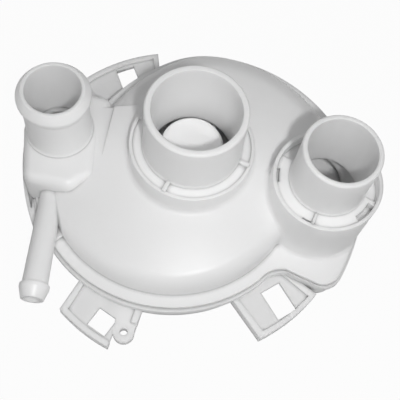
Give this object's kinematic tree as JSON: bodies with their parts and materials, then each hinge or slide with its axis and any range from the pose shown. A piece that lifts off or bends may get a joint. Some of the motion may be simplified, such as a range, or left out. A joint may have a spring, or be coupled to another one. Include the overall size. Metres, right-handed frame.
{
  "type": "centrifugal pump housing",
  "caption": "White plastic volute housing of a small drain pump with an inlet spigot over the impeller, an outlet spigot, a side spigot, a drain nipple and clip tabs.",
  "frame": {"origin": "on the impeller axis, in the plane the base stands on, at the mouth of the motor register", "axes": "+Z along the hose spigots, away from the motor. +X from the impeller axis to the outlet spigot's side. The drain nipple points towards -Y"},
  "size_m": [0.1704, 0.1612, 0.075],
  "materials": {
    "cover_plastic": "semi-matt moulded",
    "base_plastic": "semi-matt moulded",
    "impeller_plastic": "semi-matt moulded",
    "sleeve_brass": "turned",
    "seal_rubber": "matt",
    "seal_ceramic": "lapped",
    "seal_carbon": "lapped carbon",
    "bellows_rubber": "matt"
  },
  "bodies": {
    "housing": {"volute_cover": "cover_plastic", "base_plate": "base_plastic", "seat_cup": "seal_rubber", "seal_seat": "seal_ceramic"},
    "rotor": {"impeller": "impeller_plastic", "drive_insert": "sleeve_brass", "seal_face": "seal_carbon", "seal_bellows": "bellows_rubber"}
  },
  "joints": [
    {"name": "impeller_spin", "type": "hinge", "parent": "housing", "child": "rotor", "pos_m": [0, 0, 0.02], "axis": [0, 0, 1], "continuous": true}
  ]
}
